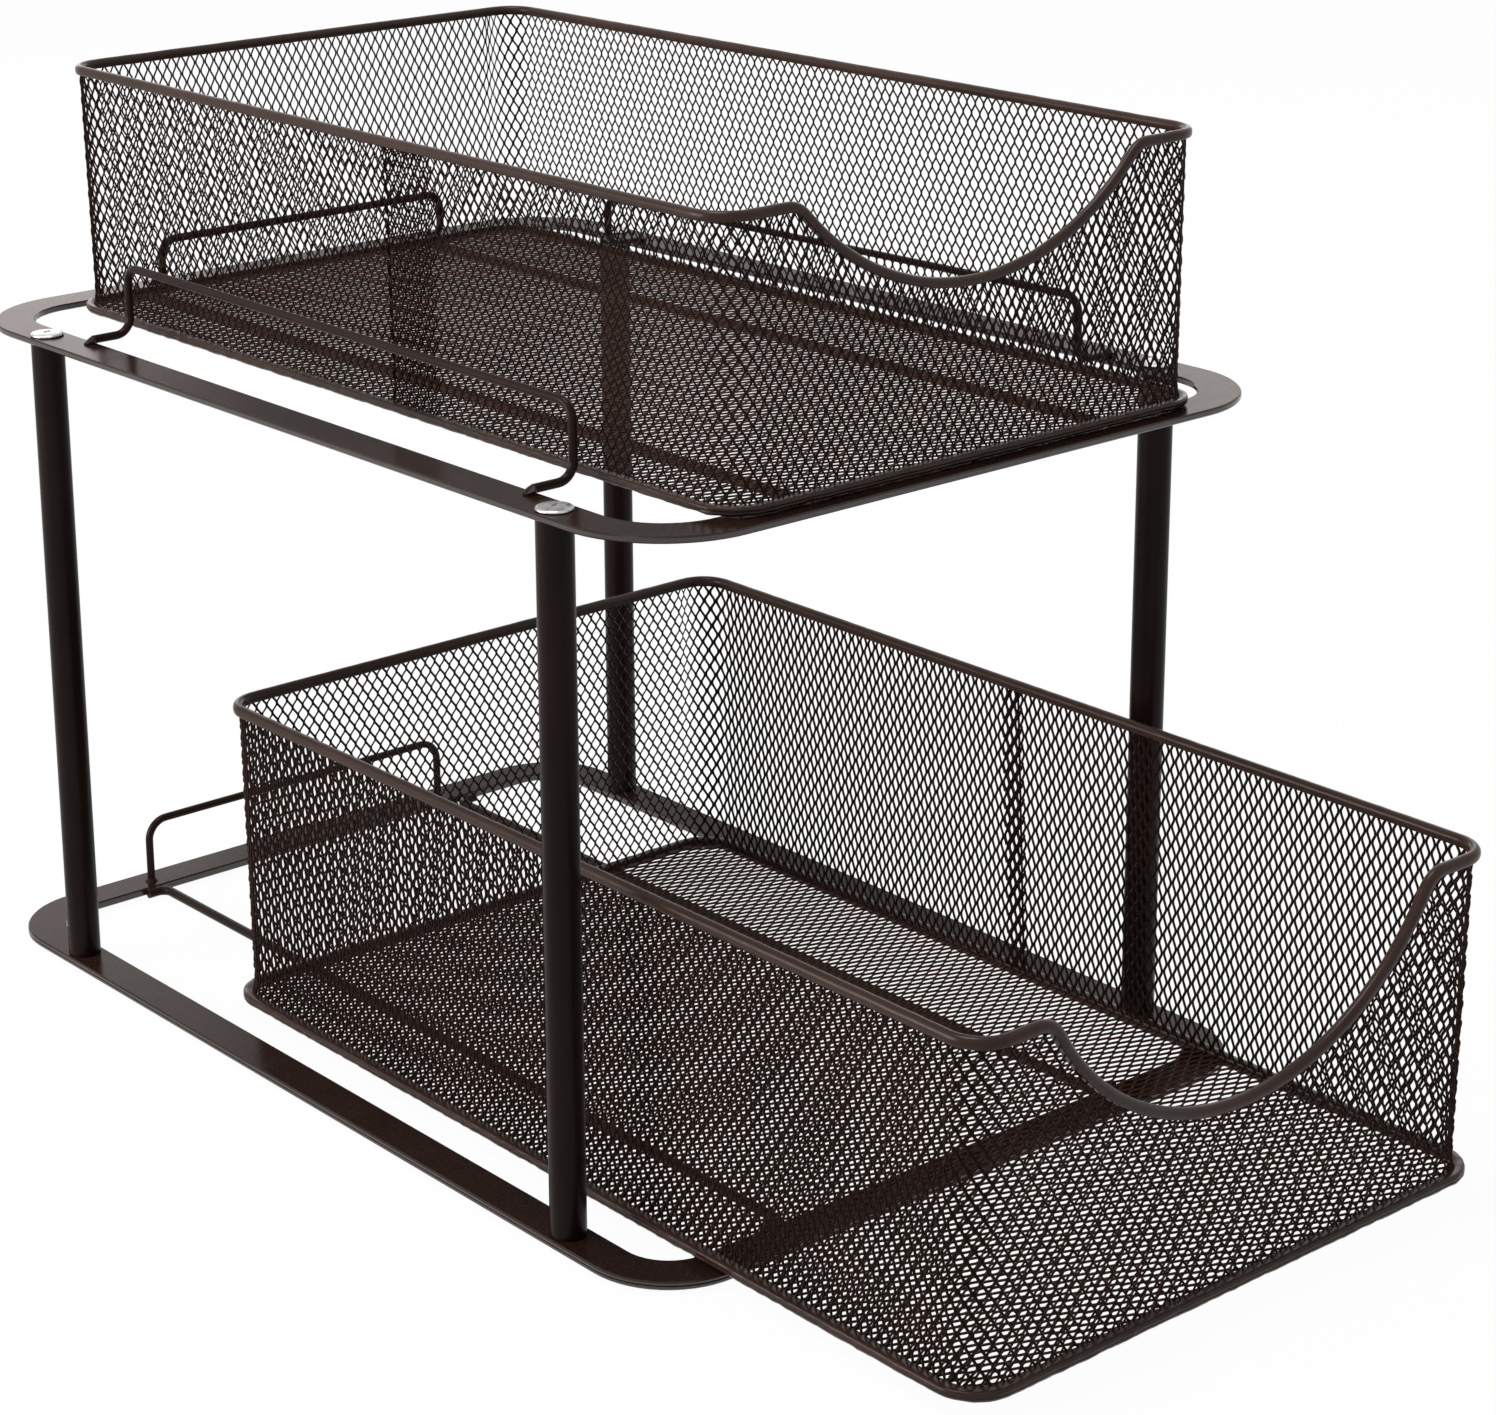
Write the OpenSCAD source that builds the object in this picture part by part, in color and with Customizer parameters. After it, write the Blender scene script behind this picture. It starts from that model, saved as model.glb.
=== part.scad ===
// Two-tier pull-out cabinet basket: a frame of two flat steel rings on four tube posts,
// and two mesh baskets that slide out over the rings. All sizes in millimetres.
// +Z is up, the scooped fronts face -Y, and the origin is on the floor under the middle
// of the footprint with the lower basket drawn out as it stands here.

/* [Frame] */
// Width of both rings, over the flat strip
ring_w = 277; // [262:1:320]
// Depth of both rings, over the flat strip
ring_l = 400; // [390:1:440]
// Width of the flat strip the rings are cut from
strip_w = 14.5; // [13:0.5:20]
// Thickness of the base ring
base_ring_t = 3; // [2:0.1:4]
// Thickness of the top ring
top_ring_t = 2.3; // [2:0.1:4]
// Outer corner radius of the base ring
base_ring_r = 31; // [28:1:36]
// Outer corner radius of the top ring
top_ring_r = 38; // [30:1:40]
// Length of the posts between the rings
post_h = 237.7; // [200:0.1:320]
// Outer diameter of the post tube
post_d = 12; // [11:0.5:14]
// Wall of the post tube
post_wall = 1; // [0.8:0.1:1.5]
// Distance between the post centres along the depth
post_pitch_l = 295; // [260:1:310]

/* [Screws] */
// Diameter of the domed screw head
head_d = 12; // [9:0.1:13]
// Height of the domed screw head
head_h = 1.4; // [1.2:0.1:2]
// Diameter of the screw shank
shank_d = 4; // [3:0.5:5]
// Length of the screw below its head
shank_l = 11; // [8:0.5:14]

/* [Guards and runners] */
// Diameter of the guard wire
guard_d = 3; // [2.5:0.1:3.5]
// Length of each side guard
side_guard_l = 255; // [180:1:264]
// Height of the side guards above the top ring
side_guard_h = 25.5; // [18:0.5:30]
// Length of the back guard of the top ring
top_guard_l = 130; // [100:1:160]
// Height of the back guard above the top ring
top_guard_h = 19; // [16:0.5:26]
// Length of the back guard of the base ring
base_guard_l = 141; // [100:1:160]
// Height of the back guard above the base ring
base_guard_h = 25; // [18:0.5:30]
// Diameter of the runner wire
runner_d = 3.6; // [3:0.1:4]
// Distance between the two base runners
base_runner_pitch = 145; // [110:1:150]
// Distance between the two top runners
top_runner_pitch = 132; // [110:1:150]

/* [Upper basket] */
// Width of the upper rim, between wire centres
up_rim_w = 204; // [190:1:206]
// Depth of the upper rim, between wire centres
up_rim_l = 362.5; // [340:0.5:366]
// Width over the upper basket's base channel
up_base_w = 207.5; // [190:0.5:209]
// Depth over the upper basket's base channel
up_base_l = 373; // [350:0.5:376]
// Height of the upper rim wire's centre above the basket's underside
up_h = 90; // [70:1:110]
// Depth of the scoop in the upper front
up_scoop = 33; // [20:1:45]

/* [Lower basket] */
// Width of the lower rim, between wire centres
low_rim_w = 226.5; // [210:0.5:230]
// Depth of the lower rim, between wire centres
low_rim_l = 383; // [360:1:386]
// Width over the lower basket's base channel
low_base_w = 234.5; // [214:0.5:236]
// Depth over the lower basket's base channel
low_base_l = 390; // [360:1:391]
// Height of the lower rim wire's centre above the basket's underside
low_h = 113; // [80:1:150]
// Depth of the scoop in the lower front
low_scoop = 51; // [30:1:60]
// How far the lower basket is drawn out
low_drawn = 110; // [0:1:180]
// How far the loose lower basket sits off the middle line
low_side_play = 4.5; // [-6:0.5:6]

/* [Mesh and wires] */
// Diameter of the upper basket's rim, and height of its base channel
up_wire_d = 3.5; // [3:0.1:4]
// Diameter of the lower basket's rim, and height of its base channel
low_wire_d = 4; // [3:0.1:4.4]
// How far the upper basket's base channel stands out from its walls
up_channel_w = 3.8; // [3:0.1:5]
// How far the lower basket's base channel stands out from its walls
low_channel_w = 4.8; // [3:0.1:5]
// Outer corner radius of the basket walls
wall_corner_r = 12; // [9:0.5:16]
// Radius of the scoop
scoop_r = 95; // [80:1:110]
// Radius of the rolled lip at each end of the scoop
scoop_lip_r = 9; // [6:0.5:12]
// Thickness of the mesh sheet
sheet_t = 0.8; // [0.6:0.1:1.2]
// Short diagonal of one opening of the expanded metal
cell_w = 4.25; // [3.5:0.05:6]
// Long diagonal of one opening of the expanded metal
cell_l = 6.9; // [5:0.1:9]
// How many openings of the expanded metal one drawn diamond stands for, each way
cell_group = 4; // [4:1:8]
// Width of a drawn strand
strand_w = 2.4; // [1.5:0.1:3.5]

/* [Hidden] */

$fn = 48;
coat = "#3a2f2c";        // powder-coated steel
wire_coat = "#332a28";   // coated wire
mesh_coat = "#2b2321";   // coated mesh
zinc = "#c9ccd0";        // bright zinc screws

// Heights
base_z = head_h;                           // underside of the base ring
base_top = base_z + base_ring_t;
ring_z = base_top + post_h;                // underside of the top ring
ring_top = ring_z + top_ring_t;
slide_gap = 0.3;                           // air under a sliding basket
up_z = ring_top + slide_gap;               // underside of the upper basket
low_z = base_top + slide_gap;              // underside of the lower basket

// Places along the depth, from the middle of the rings
inner_edge = ring_l / 2 - strip_w;         // inner edge of the front and back strips
post_x = (ring_w - strip_w) / 2;
base_guard_y = inner_edge + 5.5;           // the base guard stands on the back strip
stop_gap = 0.3;
low_closed_y = base_guard_y - (guard_d + low_base_l) / 2 - stop_gap;
low_y = low_closed_y - low_drawn;          // middle of the lower basket
up_y = -9;                                 // middle of the upper basket
top_guard_y = inner_edge - 4.5;            // the top guard stands inside the ring
front_reach = low_y - low_base_l / 2;
origin_shift = [0, -(front_reach + ring_l / 2) / 2, 0];

// Small sizes
edge_cut = 0.5;          // chamfer along the strips' edges
groove_deep = 0.35;      // fine groove round the base ring's outer edge
groove_z = 1.3;
groove_h = 0.5;
hole_play = 0.4;         // clearance of the screw holes
insert_l = 12;           // threaded inserts pressed into the tubes
crown_r = 3.4;           // flat crown of the screw heads
recess_w = 1;
recess_l = 4.6;
recess_deep = 0.8;
guard_bend_r = 6;
base_guard_bend_r = 8;
side_guard_x = 110;      // side guards beside the upper basket
side_guard_y = -2.5;
top_guard_x = 4;
base_guard_x = -4;
foot_on_strip = 5;       // length of a guard's foot on the strip, over its flattened end
foot_press = 3.4;        // how much of it is pressed flat
pad_w = 4.4;             // pressed end at its widest
pad_t = 1.5;
pad_tip_w = 1.8;
pad_tip_t = 0.5;
runner_bend_r = 4;
runner_leg = 8;          // turned-out toe along the strip's inner edge
seat = 0.03;             // bite of a weld, where round wire meets flat steel
rim_seat = 0.01;         // bite of the rim into the mesh sheet's edge
mesh_play = 0.04;        // between the walls' foot and the channel folded round them
floor_play = 0.1;        // between the floor's edge and the walls
mesh_foot = 0.4;         // height of the walls' foot above the underside
weld_swell = 0.05;       // swell of the rim wire where it is joined at the scoop
weld_l = 0.8;
mesh_border = 3;         // plain border of a mesh panel
big_w = cell_w * cell_group;
big_l = cell_l * cell_group;

// ---- shared shapes ----

module at_origin() {
    translate(origin_shift) children();
}

// Sweeps a 2D section along a rounded rectangle; the section's x is measured outwards.
module swept_ring(w, l, r) {
    for (turn = [0, 1, 2, 3]) {
        along = turn % 2 == 0 ? l : w;
        across = turn % 2 == 0 ? w : l;
        rotate([0, 0, 90 * turn]) {
            translate([across / 2, along / 2 - r, 0])
                rotate([90, 0, 0])
                    linear_extrude(along - 2 * r) children();
            translate([across / 2 - r, along / 2 - r, 0])
                rotate_extrude(angle = 90) translate([r, 0]) children();
        }
    }
}

// One bend of a wire: starts at the origin along +X and turns left, or right if a < 0.
module bend(a, r, d) {
    mirror([0, a < 0 ? 1 : 0, 0])
        translate([0, r, 0])
            rotate([0, 0, -90])
                rotate_extrude(angle = abs(a)) translate([r, 0]) circle(d = d);
}

// A bent wire. Each step is [straight length, turn, bend radius, roll before the turn].
module wire(steps, d, i = 0) {
    if (i < len(steps)) {
        run = steps[i][0];
        turn = steps[i][1];
        r = steps[i][2];
        if (run > 0) rotate([0, 90, 0]) cylinder(d = d, h = run);
        translate([run, 0, 0]) rotate([steps[i][3], 0, 0]) {
            if (turn != 0) bend(turn, r, d);
            translate([r * sin(abs(turn)), sign(turn) * r * (1 - cos(turn)), 0])
                rotate([0, 0, turn]) wire(steps, d, i + 1);
        }
    }
}

// ---- frame ----

// Section of a flat strip with broken edges; a groove depth of 0 leaves it plain.
module strip_section(t, groove) {
    c = edge_cut;
    polygon([
        [-strip_w, c], [-strip_w + c, 0], [-c, 0], [0, c],
        if (groove > 0) each [
            [0, groove_z], [-groove, groove_z + groove_h / 2], [0, groove_z + groove_h]
        ],
        [0, t - c], [-c, t], [-strip_w + c, t], [-strip_w, t - c]
    ]);
}

module at_posts() {
    for (sx = [-1, 1], sy = [-1, 1])
        translate([sx * post_x, sy * post_pitch_l / 2, 0]) children();
}

module ring(t, r, groove) {
    difference() {
        swept_ring(ring_w, ring_l, r) strip_section(t, groove);
        at_posts() translate([0, 0, -1]) cylinder(d = shank_d + hole_play, h = t + 2);
    }
}

module base_ring() {
    color(coat) at_origin() translate([0, 0, base_z])
        ring(base_ring_t, base_ring_r, groove_deep);
}

module top_ring() {
    color(coat) at_origin() translate([0, 0, ring_z]) ring(top_ring_t, top_ring_r, 0);
}

module post(sx, sy) {
    color(coat) at_origin()
        translate([sx * post_x, sy * post_pitch_l / 2, base_top])
            difference() {
                cylinder(d = post_d, h = post_h);
                translate([0, 0, -1]) cylinder(d = post_d - 2 * post_wall, h = post_h + 2);
            }
}

module post_front_left() post(-1, -1);
module post_front_right() post(1, -1);
module post_back_left() post(-1, 1);
module post_back_right() post(1, 1);

module insert() {
    difference() {
        cylinder(d = post_d - 2 * post_wall, h = insert_l);
        translate([0, 0, -1]) cylinder(d = shank_d, h = insert_l + 2);
    }
}

module post_inserts() {
    color(zinc) at_origin() at_posts()
        for (z = [base_top, ring_z - insert_l]) translate([0, 0, z]) insert();
}

// A low domed screw, head up, with the underside of its head at z = 0.
module screw() {
    difference() {
        union() {
            rotate_extrude()
                polygon([
                    [0, 0], [head_d / 2, 0], [head_d / 2, head_h * 0.25],
                    [head_d * 0.42, head_h * 0.7], [crown_r, head_h], [0, head_h]
                ]);
            translate([0, 0, -shank_l]) cylinder(d = shank_d, h = shank_l);
        }
        for (a = [0, 90])
            rotate([0, 0, a + 45])
                translate([-recess_l / 2, -recess_w / 2, head_h - recess_deep])
                    cube([recess_l, recess_w, recess_deep + 1]);
    }
}

module top_screws() {
    color(zinc) at_origin() at_posts() translate([0, 0, ring_top]) screw();
}

module base_screws() {
    color(zinc) at_origin() at_posts()
        translate([0, 0, base_z]) mirror([0, 0, 1]) screw();
}

// A runner wire, flush with the ring's top, with a short toe turned out at each end,
// welded along the strip's inner edge.
module runner(side, pitch, top) {
    span = 2 * (inner_edge - runner_d / 2 + seat);
    color(wire_coat) at_origin()
        mirror([side > 0 ? 1 : 0, 0, 0])
            translate([-pitch / 2 - runner_leg, span / 2, top - runner_d / 2])
                wire([
                    [runner_leg - runner_bend_r, -90, runner_bend_r, 0],
                    [span - 2 * runner_bend_r, -90, runner_bend_r, 0],
                    [runner_leg - runner_bend_r, 0, 0, 0]
                ], runner_d);
}

module base_runner_left() runner(-1, base_runner_pitch, base_top);
module base_runner_right() runner(1, base_runner_pitch, base_top);
module top_runner_left() runner(-1, top_runner_pitch, ring_top);
module top_runner_right() runner(1, top_runner_pitch, ring_top);

// A guard whose feet lie on the strip and reach inwards. Its span runs along Y,
// its legs stand at x = 0 and its feet reach to x = -reach, on a face at z = 0.
module hat_guard(l, h, reach) {
    r = guard_bend_r;
    foot = reach - foot_press - r;
    rise = h - guard_d / 2 - 2 * r;
    translate([foot_press - reach, l / 2, guard_d / 2])
        wire([
            [foot, 90, r, 90],
            [rise, 90, r, 90],
            [l - 2 * r, 90, r, 0],
            [rise, 90, r, -90],
            [foot, 0, 0, 0]
        ], guard_d);
    for (s = [-1, 1]) translate([-reach, s * l / 2, 0]) pressed_foot();
}

// The end of a guard's foot: round wire pressed flat and drawn to a tip at x = 0.
module pressed_foot() {
    neck = 0.3;
    hull() {
        translate([foot_press, 0, guard_d / 2]) rotate([0, 90, 0]) cylinder(d = guard_d, h = neck);
        translate([foot_press - 1, -pad_w / 2, 0]) cube([neck, pad_w, pad_t]);
        translate([0, -pad_tip_w / 2, 0]) cube([neck, pad_tip_w, pad_tip_t]);
    }
}

module side_guard(side) {
    reach = ring_w / 2 - strip_w - side_guard_x + foot_on_strip;
    color(wire_coat) at_origin()
        mirror([side > 0 ? 1 : 0, 0, 0])
            translate([-side_guard_x, side_guard_y, ring_top])
                hat_guard(side_guard_l, side_guard_h, reach);
}

module guard_top_left() side_guard(-1);
module guard_top_right() side_guard(1);

module guard_top_back() {
    color(wire_coat) at_origin()
        translate([top_guard_x, top_guard_y, ring_top])
            rotate([0, 0, -90])
                hat_guard(top_guard_l, top_guard_h, inner_edge - top_guard_y + foot_on_strip);
}

// The base guard's feet stand straight on the back strip, each in a small weld.
module guard_base_back() {
    r = base_guard_bend_r;
    rise = base_guard_h - r;
    color(wire_coat) at_origin()
        translate([base_guard_x, base_guard_y, base_top]) {
            translate([-base_guard_l / 2, 0, 0])
                rotate([0, -90, 0])
                    wire([
                        [rise, -90, r, 90],
                        [base_guard_l - 2 * r, -90, r, 0],
                        [rise, 0, 0, 0]
                    ], guard_d);
            for (s = [-1, 1])
                translate([s * base_guard_l / 2, 0, 0])
                    cylinder(d1 = guard_d + 2.4, d2 = guard_d, h = 1.4);
        }
}

// ---- baskets ----

// Half angle of the scoop's arc where it meets the rolled lips, and where the lips end.
function scoop_angle(deep) = acos((scoop_r - deep + scoop_lip_r) / (scoop_r + scoop_lip_r));
function lip_x(deep) = (scoop_r + scoop_lip_r) * sin(scoop_angle(deep));

// Half of a scoop's outline, from the straight rim at y = 0 down to its middle, moved
// down into the wall by `in`. Its sides run along the arcs from below and never cross them.
function half_scoop(deep, in) =
    let (
        a = scoop_angle(deep), lip = scoop_lip_r - in, n = 20,
        arc = (scoop_r + in) / cos(a / 2 / n)
    )
    concat(
        [for (k = [0 : 6])
            [lip_x(deep) - lip * sin(a * k / 6), lip * cos(a * k / 6) - scoop_lip_r]],
        [for (k = [n - 0.5 : -1 : 0.5])
            [arc * sin(a * k / n), scoop_r - deep - arc * cos(a * k / n)]]
    );

// Height of the scoop's edge at x, measured from the rim.
function scoop_edge(x, deep, in) =
    let (
        ax = abs(x),
        lip = scoop_lip_r - in,
        arc = scoop_r + in,
        meet = lip_x(deep) - lip * sin(scoop_angle(deep))
    )
    deep == 0 || ax >= lip_x(deep) ? -in
    : ax >= meet ? sqrt(lip * lip - pow(lip_x(deep) - ax, 2)) - scoop_lip_r
    : scoop_r - deep - sqrt(arc * arc - ax * ax);

// The rim wire: round the back and sides, with the scoop in a front that leans in.
module rim_wire(w, l, d, deep, lean) {
    r = wall_corner_r - sheet_t / 2;
    ends = w / 2 - r - lip_x(deep);
    translate([-lip_x(deep), -l / 2, 0])
        rotate([0, 0, 180])
            wire([
                [ends, -90, r, 0], [l - 2 * r, -90, r, 0], [w - 2 * r, -90, r, 0],
                [l - 2 * r, -90, r, 0], [ends, 0, 0, 0]
            ], d);
    translate([0, -l / 2, 0]) rotate([90 - lean, 0, 0]) scoop_wire(d, deep);
}

// The scoop's three arcs, drawn with x across and y up, and the rim at y = 0.
module scoop_wire(d, deep) {
    a = scoop_angle(deep);
    x = scoop_r * sin(a);
    gap = 0.1;
    translate([0, scoop_r - deep])
        rotate([0, 0, -90 - a + gap])
            rotate_extrude(angle = 2 * (a - gap)) translate([scoop_r, 0]) circle(d = d);
    for (s = [0, 1]) mirror([s, 0, 0]) {
        translate([lip_x(deep), -scoop_lip_r])
            rotate([0, 0, 90 + gap * 6])
                rotate_extrude(angle = a - gap * 12)
                    translate([scoop_lip_r, 0]) circle(d = d);
        translate([lip_x(deep), 0]) weld(d);
        translate([x, scoop_r * (1 - cos(a)) - deep]) rotate([0, 0, a]) weld(d);
    }
}

// A butt weld round a wire that runs along X.
module weld(d) {
    rotate([0, 90, 0]) cylinder(d = d + 2 * weld_swell, h = weld_l, center = true);
}

// Section of the folded channel round a basket's base, outer edge at x = 0.
module channel_section(w, h) {
    r = h * 0.42;
    middles = [[-r, r], [-r, h - r], [r - w, h - r], [r - w, r]];
    polygon([
        for (q = [0 : 3], k = [0 : 2])
            middles[q] + r * [cos(90 * (q - 1) + 45 * k), sin(90 * (q - 1) + 45 * k)]
    ]);
}

// Half diagonals of a drawn diamond, less the strands round it.
function open_w() = big_w / 2 - strand_w / 2 * norm([big_w, big_l]) / big_l;
function open_l() = big_l / 2 - strand_w / 2 * norm([big_w, big_l]) / big_w;

module diamond() {
    polygon([[-open_w(), 0], [0, -open_l()], [open_w(), 0], [0, open_l()]]);
}

// A wall panel, w0 wide at its foot and w1 at the rim's height h, with diamonds that
// stand upright. It ends `in` below the rim, and below the scoop where there is one.
module wall_panel(w0, w1, h, deep, in) {
    columns = ceil(w0 / 2 / big_w);
    rows = ceil(2 * h / big_l);
    scoop = deep > 0 ? half_scoop(deep, in) : [];
    n = len(scoop);
    top_x = (w0 + (w1 - w0) * (h - in) / h) / 2;
    translate([0, 0, -sheet_t]) linear_extrude(sheet_t)
        difference() {
            polygon(concat(
                [[-w0 / 2, 0], [w0 / 2, 0], [top_x, h - in]],
                [for (p = scoop) p + [0, h]],
                [for (k = [n - 1 : -1 : 0]) [-scoop[k][0], scoop[k][1] + h]],
                [[-top_x, h - in]]
            ));
            for (j = [1 : rows], i = [-columns : columns]) {
                x = big_w * (i + (j % 2) / 2);
                y = big_l / 2 * j;
                top = h + min([for (k = [-1, 0, 1]) scoop_edge(x + k * open_w(), deep, in)]);
                side = w0 / 2 + (w1 - w0) / 2 * y / h;
                if (abs(x) + open_w() + mesh_border < side
                    && y - open_l() > mesh_border && y + open_l() + mesh_border < top)
                    translate([x, y]) diamond();
            }
        }
}

// The floor panel, with diamonds that lie across the basket.
module floor_panel(w, l) {
    r = wall_corner_r - sheet_t - floor_play;
    columns = ceil(w / 2 / big_l);
    rows = ceil(l / big_w);
    linear_extrude(sheet_t)
        difference() {
            union() {
                square([w - 2 * r, l], center = true);
                square([w, l - 2 * r], center = true);
                for (sx = [-1, 1], sy = [-1, 1])
                    translate([sx * (w / 2 - r), sy * (l / 2 - r)]) circle(r = r);
            }
            for (j = [-rows : rows], i = [-columns : columns]) {
                x = big_l * (i + (abs(j) % 2) / 2);
                y = big_w / 2 * j;
                if (abs(x) + open_l() + 2 * mesh_border < w / 2
                    && abs(y) + open_w() + 2 * mesh_border < l / 2)
                    translate([x, y]) rotate([0, 0, 90]) diamond();
            }
        }
}

// One basket: [rim width, depth], [width, depth over the base channel], height, scoop,
// wire diameter, channel width, place of its underside.
upper = [
    [up_rim_w, up_rim_l], [up_base_w, up_base_l], up_h, up_scoop, up_wire_d, up_channel_w,
    [0, up_y, up_z]
];
lower = [
    [low_rim_w, low_rim_l], [low_base_w, low_base_l], low_h, low_scoop, low_wire_d,
    low_channel_w, [low_side_play, low_y, low_z]
];

function rim(b) = b[0];
function wire_of(b) = b[4];
function rise(b) = b[2] - mesh_foot;
// Size over the walls at their foot, and at the rim's height: [width, depth].
function foot(b) = b[1] - 2 * (b[5] + mesh_play) * [1, 1];
function head(b) = rim(b) + sheet_t * [1, 1];
// Lean of the side walls (0) or of the front and back (1).
function lean(b, i) = atan((foot(b)[i] - head(b)[i]) / 2 / rise(b));

module in_basket(b) {
    at_origin() translate(b[6]) children();
}

module basket_rim(b) {
    color(wire_coat) in_basket(b) translate([0, 0, b[2]])
        rim_wire(rim(b)[0], rim(b)[1], wire_of(b), b[3], lean(b, 1));
}

module basket_base(b) {
    color(wire_coat) in_basket(b)
        swept_ring(b[1][0], b[1][1], wall_corner_r + b[5]) channel_section(b[5], wire_of(b));
}

// The floor lies inside the walls at half the channel's height.
module basket_floor(b) {
    size = foot(b) - 2 * (sheet_t + floor_play) * [1, 1];
    color(mesh_coat) in_basket(b) translate([0, 0, (wire_of(b) - sheet_t) / 2])
        floor_panel(size[0], size[1]);
}

// A front or back wall (turn 0 or 180) or a side wall (turn 90 or 270).
module basket_wall(b, turn, deep) {
    i = turn % 180 == 0 ? 1 : 0;           // the axis the wall faces along
    a = lean(b, i);
    color(mesh_coat) in_basket(b)
        rotate([0, 0, turn]) translate([0, -foot(b)[i] / 2, mesh_foot]) rotate([90 - a, 0, 0])
            wall_panel(
                foot(b)[1 - i] - 2 * wall_corner_r, head(b)[1 - i] - 2 * wall_corner_r,
                rise(b) / cos(a), deep, wire_of(b) / 2 - rim_seat
            );
}

// The four rounded corners of a basket's wall, tipped along the corner's own slope.
module basket_corners(b) {
    color(mesh_coat) in_basket(b) translate([0, 0, mesh_foot])
        for (mx = [0, 1], my = [0, 1])
            mirror([mx, 0, 0]) mirror([0, my, 0])
                translate([foot(b)[0] / 2 - wall_corner_r, foot(b)[1] / 2 - wall_corner_r, 0])
                    rotate([lean(b, 1), -lean(b, 0), 0])
                        rotate_extrude(angle = 90)
                            translate([wall_corner_r - sheet_t, 0])
                                square([sheet_t, rise(b) - wire_of(b) / 2 + rim_seat]);
}

module upper_rim_wire() basket_rim(upper);
module upper_base_channel() basket_base(upper);
module upper_mesh_front() basket_wall(upper, 0, up_scoop);
module upper_mesh_back() basket_wall(upper, 180, 0);
module upper_mesh_left() basket_wall(upper, 270, 0);
module upper_mesh_right() basket_wall(upper, 90, 0);
module upper_mesh_corners() basket_corners(upper);
module upper_mesh_floor() basket_floor(upper);
module lower_rim_wire() basket_rim(lower);
module lower_base_channel() basket_base(lower);
module lower_mesh_front() basket_wall(lower, 0, low_scoop);
module lower_mesh_back() basket_wall(lower, 180, 0);
module lower_mesh_left() basket_wall(lower, 270, 0);
module lower_mesh_right() basket_wall(lower, 90, 0);
module lower_mesh_corners() basket_corners(lower);
module lower_mesh_floor() basket_floor(lower);

base_ring();
top_ring();
post_front_left();
post_front_right();
post_back_left();
post_back_right();
post_inserts();
top_screws();
base_screws();
base_runner_left();
base_runner_right();
top_runner_left();
top_runner_right();
guard_base_back();
guard_top_back();
guard_top_left();
guard_top_right();
upper_rim_wire();
upper_base_channel();
upper_mesh_front();
upper_mesh_back();
upper_mesh_left();
upper_mesh_right();
upper_mesh_corners();
upper_mesh_floor();
lower_rim_wire();
lower_base_channel();
lower_mesh_front();
lower_mesh_back();
lower_mesh_left();
lower_mesh_right();
lower_mesh_corners();
lower_mesh_floor();
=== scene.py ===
import math

import bmesh
import bpy
from mathutils import Matrix, Vector


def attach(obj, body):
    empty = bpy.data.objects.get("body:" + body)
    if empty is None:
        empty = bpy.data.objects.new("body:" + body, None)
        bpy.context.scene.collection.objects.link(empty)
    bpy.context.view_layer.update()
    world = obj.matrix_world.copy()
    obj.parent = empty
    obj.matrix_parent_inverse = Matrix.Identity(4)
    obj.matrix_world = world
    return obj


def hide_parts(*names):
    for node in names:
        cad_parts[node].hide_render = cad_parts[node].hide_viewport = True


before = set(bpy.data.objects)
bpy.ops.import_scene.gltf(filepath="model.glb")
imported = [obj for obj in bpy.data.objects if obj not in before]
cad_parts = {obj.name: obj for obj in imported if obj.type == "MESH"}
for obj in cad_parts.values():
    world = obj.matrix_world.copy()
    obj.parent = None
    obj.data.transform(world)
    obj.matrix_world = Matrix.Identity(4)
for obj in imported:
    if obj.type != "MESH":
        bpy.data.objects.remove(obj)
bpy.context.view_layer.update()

MM = 0.001
MATH, VECTOR_MATH = "ShaderNodeMath", "ShaderNodeVectorMath"
SPLIT_XYZ, JOIN_XYZ = "ShaderNodeSeparateXYZ", "ShaderNodeCombineXYZ"

# ---------------------------------------------------------------------------
# Sizes of the real thing, in millimetres, in the same frame as the solids
# ---------------------------------------------------------------------------
RING_MIDDLE_Y = 55.4         # middle of both rings
TOP_RING_TOP = 244.4

# One basket: rim size, base size over its channel, height of the rim above the
# underside, scoop depth, wire, channel width, and the place of its underside. Its seam is
# the side on which the wall strip's ends lap, where, and by how much. Then its expanded
# metal, for the walls and the floor: the short and long diagonals of an opening, and the
# width, thickness and tip of a strand, the tip in radians. The upper basket's sheet is
# lighter, and the two sheets were hung with opposite faces out. A wall sheet leans on its
# right side.
UPPER = dict(rim=(204.0, 362.5), base=(207.5, 373.0), high=90.0, scoop=33.0, wire=3.5,
             channel=3.8, at=(0.0, RING_MIDDLE_Y - 9.0, 244.7), body="upper_basket",
             seam=("left", -27.0, 26.0), wall_mesh=(4.1, 6.95, 0.60, 0.50, 0.6),
             floor_mesh=(4.35, 7.6, 0.58, 0.36, -0.4), lean=0.085)
LOWER = dict(rim=(226.5, 383.0), base=(234.5, 390.0), high=113.0, scoop=51.0, wire=4.0,
             channel=4.8, at=(4.5, RING_MIDDLE_Y - 115.8, 4.7), body="lower_basket",
             seam=("right", 16.0, 10.0), wall_mesh=(4.42, 6.85, 0.84, 0.56, -0.75),
             floor_mesh=(4.45, 7.0, 0.78, 0.40, -0.6), lean=0.05)
SCOOP_R = 95.0
LIP_R = 9.0                  # where the rim turns down into the scoop
WALL_R = 12.0                # outer corner radius of the mesh walls
SHEET_T = 0.8
EDGE_BACK = 0.5              # how far the sheet's edge stays below the rim's line in the scoop
UNDER_RIM = 0.2              # how far the sheet's top stands inside the rim's line
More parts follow.
